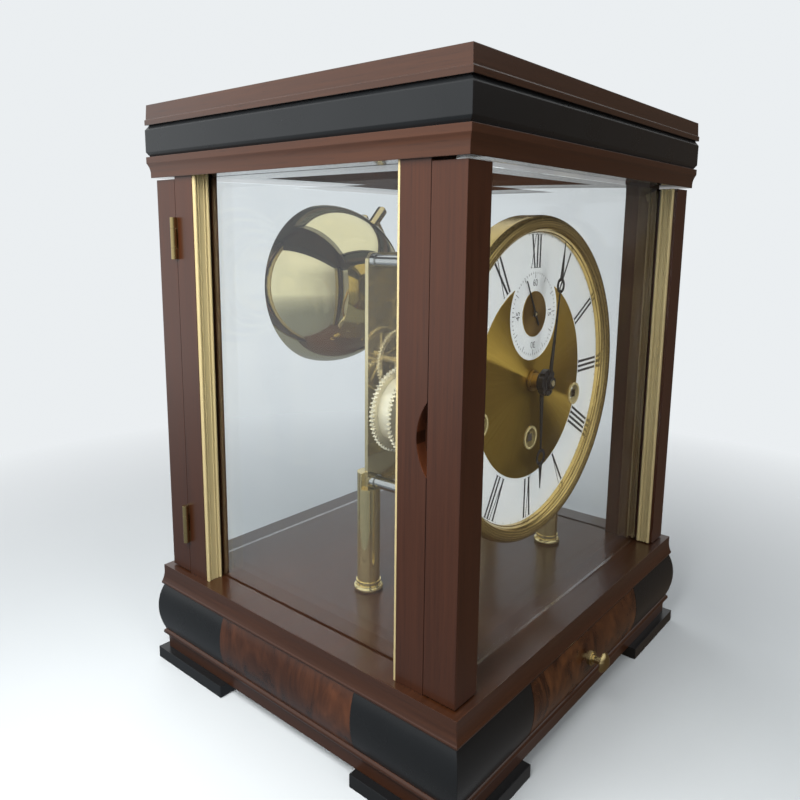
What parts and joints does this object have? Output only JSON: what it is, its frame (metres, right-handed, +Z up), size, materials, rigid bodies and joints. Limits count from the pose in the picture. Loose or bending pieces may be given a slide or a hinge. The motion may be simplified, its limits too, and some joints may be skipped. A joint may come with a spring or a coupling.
{
  "type": "chiming table clock",
  "caption": "Glazed walnut table clock with a chiming movement, a nest of bells, hinged doors front and rear and a drawer in the plinth.",
  "frame": {"origin": "under the middle of the whole clock, on the floor plane of the feet", "axes": "+Z up, the dial faces -Y, +X to the right as seen from the front"},
  "size_m": [0.2476, 0.229, 0.32],
  "materials": {
    "walnut": "satin lacquer",
    "burl": "polished lacquer",
    "plain_wood": "plain",
    "black_lacquer": "satin black lacquer",
    "glass": "bevelled and polished",
    "hand_black": "satin black",
    "nickel": "polished nickel",
    "enamel": "white dial lacquer",
    "gold": "polished and lacquered",
    "brass": "polished"
  },
  "bodies": {
    "case": {"feet": "black_lacquer", "bottom_board": "walnut", "corner_blocks": "black_lacquer", "burl_panels": "burl", "drawer_bay": "plain_wood", "base_board": "walnut", "corner_posts": "walnut", "case_glass": "glass", "side_strips": "brass", "cornice_board": "walnut", "cornice_band": "black_lacquer", "top_board": "walnut", "post_hinges": "brass", "support_columns": "brass", "front_plate": "brass", "rear_plate": "brass", "plate_pillars": "nickel", "dial_plate": "enamel", "bezel": "gold", "centre_disc": "gold", "winding_ferrules": "gold", "bells": "brass", "bell_stand": "brass", "hammer_frame": "brass"},
    "drawer": {"drawer_front": "burl", "drawer_box": "plain_wood", "drawer_knob": "brass"},
    "front_door": {"front_stiles": "walnut", "front_glass": "glass", "front_strips": "brass", "front_hinges": "brass"},
    "rear_door": {"rear_stiles": "walnut", "rear_glass": "glass", "rear_strips": "brass", "rear_hinges": "brass"},
    "minute": {"centre_wheel": "brass", "minute_hand": "hand_black"},
    "hour": {"hour_wheel": "brass", "hour_hand": "hand_black"},
    "motion": {"minute_wheel": "brass"},
    "third": {"third_wheel": "brass"},
    "seconds": {"fourth_wheel": "brass", "seconds_hand": "hand_black"},
    "intermediate": {"inter_wheel": "brass"},
    "time_drum": {"time_barrel": "brass"},
    "time_winder": {"time_arbor": "nickel"},
    "escape": {"escape_wheel": "brass"},
    "pallet": {"pallet_lever": "nickel"},
    "balance": {"balance": "brass"},
    "strike_drum": {"strike_barrel": "brass"},
    "strike_winder": {"strike_arbor": "nickel"},
    "strike_upper": {"strike_wheel": "brass"},
    "chime_drum_body": {"chime_barrel": "brass"},
    "chime_winder": {"chime_arbor": "nickel"},
    "chime_upper": {"chime_wheel": "brass"},
    "pin_drum": {"chime_drum": "brass"},
    "hammer_1": {"hammer_1": "brass"},
    "hammer_2": {"hammer_2": "brass"},
    "hammer_3": {"hammer_3": "brass"},
    "hammer_4": {"hammer_4": "brass"}
  },
  "joints": [
    {"name": "drawer_slide", "type": "slide", "parent": "case", "child": "drawer", "axis": [0, -1, 0], "range_m": [0, 0.1]},
    {"name": "front_door_swing", "type": "hinge", "parent": "case", "child": "front_door", "pos_m": [0.1178, -0.0805, 0.17], "axis": [0, 0, 1], "range_deg": [0, 110]},
    {"name": "rear_door_swing", "type": "hinge", "parent": "case", "child": "rear_door", "pos_m": [-0.1178, 0.0899, 0.17], "axis": [0, 0, 1], "range_deg": [0, 110]},
    {"name": "minute_turn", "type": "hinge", "parent": "case", "child": "minute", "pos_m": [0, 0.0047, 0.1768], "axis": [0, 1, 0], "continuous": true},
    {"name": "hour_turn", "type": "hinge", "parent": "case", "child": "hour", "pos_m": [0, 0.0047, 0.1768], "axis": [0, 1, 0], "continuous": true},
    {"name": "motion_turn", "type": "hinge", "parent": "case", "child": "motion", "pos_m": [0.016, 0.0047, 0.1768], "axis": [0, 1, 0], "continuous": true},
    {"name": "third_turn", "type": "hinge", "parent": "case", "child": "third", "pos_m": [0.00708, 0.0047, 0.19529], "axis": [0, 1, 0], "continuous": true},
    {"name": "seconds_turn", "type": "hinge", "parent": "case", "child": "seconds", "pos_m": [0, 0.0047, 0.2126], "axis": [0, 1, 0], "continuous": true},
    {"name": "intermediate_turn", "type": "hinge", "parent": "case", "child": "intermediate", "pos_m": [0.01418, 0.0047, 0.16247], "axis": [0, 1, 0], "continuous": true},
    {"name": "time_barrel_turn", "type": "hinge", "parent": "case", "child": "time_drum", "pos_m": [0, 0.0047, 0.145], "axis": [0, 1, 0], "continuous": true},
    {"name": "time_winding", "type": "hinge", "parent": "case", "child": "time_winder", "pos_m": [0, 0.0047, 0.145], "axis": [0, 1, 0], "continuous": true},
    {"name": "escape_turn", "type": "hinge", "parent": "case", "child": "escape", "pos_m": [0.01, 0.0047, 0.2224], "axis": [0, 1, 0], "continuous": true},
    {"name": "pallet_rock", "type": "hinge", "parent": "case", "child": "pallet", "pos_m": [0.02, 0.0047, 0.2264], "axis": [0, 1, 0], "range_deg": [-5, 5]},
    {"name": "balance_swing", "type": "hinge", "parent": "case", "child": "balance", "pos_m": [0.033, 0.0047, 0.2314], "axis": [0, 1, 0], "range_deg": [-135, 135]},
    {"name": "strike_barrel_turn", "type": "hinge", "parent": "case", "child": "strike_drum", "pos_m": [-0.0495, 0.0047, 0.1615], "axis": [0, 1, 0], "continuous": true},
    {"name": "strike_winding", "type": "hinge", "parent": "case", "child": "strike_winder", "pos_m": [-0.0495, 0.0047, 0.1615], "axis": [0, 1, 0], "continuous": true},
    {"name": "strike_wheel_turn", "type": "hinge", "parent": "case", "child": "strike_upper", "pos_m": [-0.04597, 0.0047, 0.18662], "axis": [0, 1, 0], "continuous": true},
    {"name": "chime_barrel_turn", "type": "hinge", "parent": "case", "child": "chime_drum_body", "pos_m": [0.0495, 0.0047, 0.1615], "axis": [0, 1, 0], "continuous": true},
    {"name": "chime_winding", "type": "hinge", "parent": "case", "child": "chime_winder", "pos_m": [0.0495, 0.0047, 0.1615], "axis": [0, 1, 0], "continuous": true},
    {"name": "chime_wheel_turn", "type": "hinge", "parent": "case", "child": "chime_upper", "pos_m": [0.04597, 0.0047, 0.18662], "axis": [0, 1, 0], "continuous": true},
    {"name": "pin_drum_turn", "type": "hinge", "parent": "case", "child": "pin_drum", "pos_m": [0.03, 0.0047, 0.205], "axis": [0, 1, 0], "continuous": true},
    {"name": "hammer_1_lift", "type": "hinge", "parent": "case", "child": "hammer_1", "pos_m": [0.022, 0.0047, 0.23], "axis": [0, 1, 0], "range_deg": [0, 22], "stiffness_Nm_per_rad": 0.02, "springref_deg": -11.46},
    {"name": "hammer_2_lift", "type": "hinge", "parent": "case", "child": "hammer_2", "pos_m": [0.022, 0.0047, 0.23], "axis": [0, 1, 0], "range_deg": [0, 22], "stiffness_Nm_per_rad": 0.02, "springref_deg": -11.46},
    {"name": "hammer_3_lift", "type": "hinge", "parent": "case", "child": "hammer_3", "pos_m": [0.022, 0.0047, 0.23], "axis": [0, 1, 0], "range_deg": [0, 22], "stiffness_Nm_per_rad": 0.02, "springref_deg": -11.46},
    {"name": "hammer_4_lift", "type": "hinge", "parent": "case", "child": "hammer_4", "pos_m": [0.022, 0.0047, 0.23], "axis": [0, 1, 0], "range_deg": [0, 22], "stiffness_Nm_per_rad": 0.02, "springref_deg": -11.46}
  ],
  "couplings": [
    {"joint": "hour_turn", "follows": "minute_turn", "ratio": 0.083333},
    {"joint": "motion_turn", "follows": "minute_turn", "ratio": -0.33333},
    {"joint": "third_turn", "follows": "minute_turn", "ratio": -8},
    {"joint": "seconds_turn", "follows": "minute_turn", "ratio": 60},
    {"joint": "intermediate_turn", "follows": "minute_turn", "ratio": -0.16667},
    {"joint": "time_barrel_turn", "follows": "minute_turn", "ratio": 0.020833},
    {"joint": "escape_turn", "follows": "minute_turn", "ratio": -360},
    {"joint": "strike_wheel_turn", "follows": "strike_barrel_turn", "ratio": -7.5},
    {"joint": "chime_wheel_turn", "follows": "chime_barrel_turn", "ratio": -7.5},
    {"joint": "pin_drum_turn", "follows": "chime_barrel_turn", "ratio": 7.5}
  ]
}
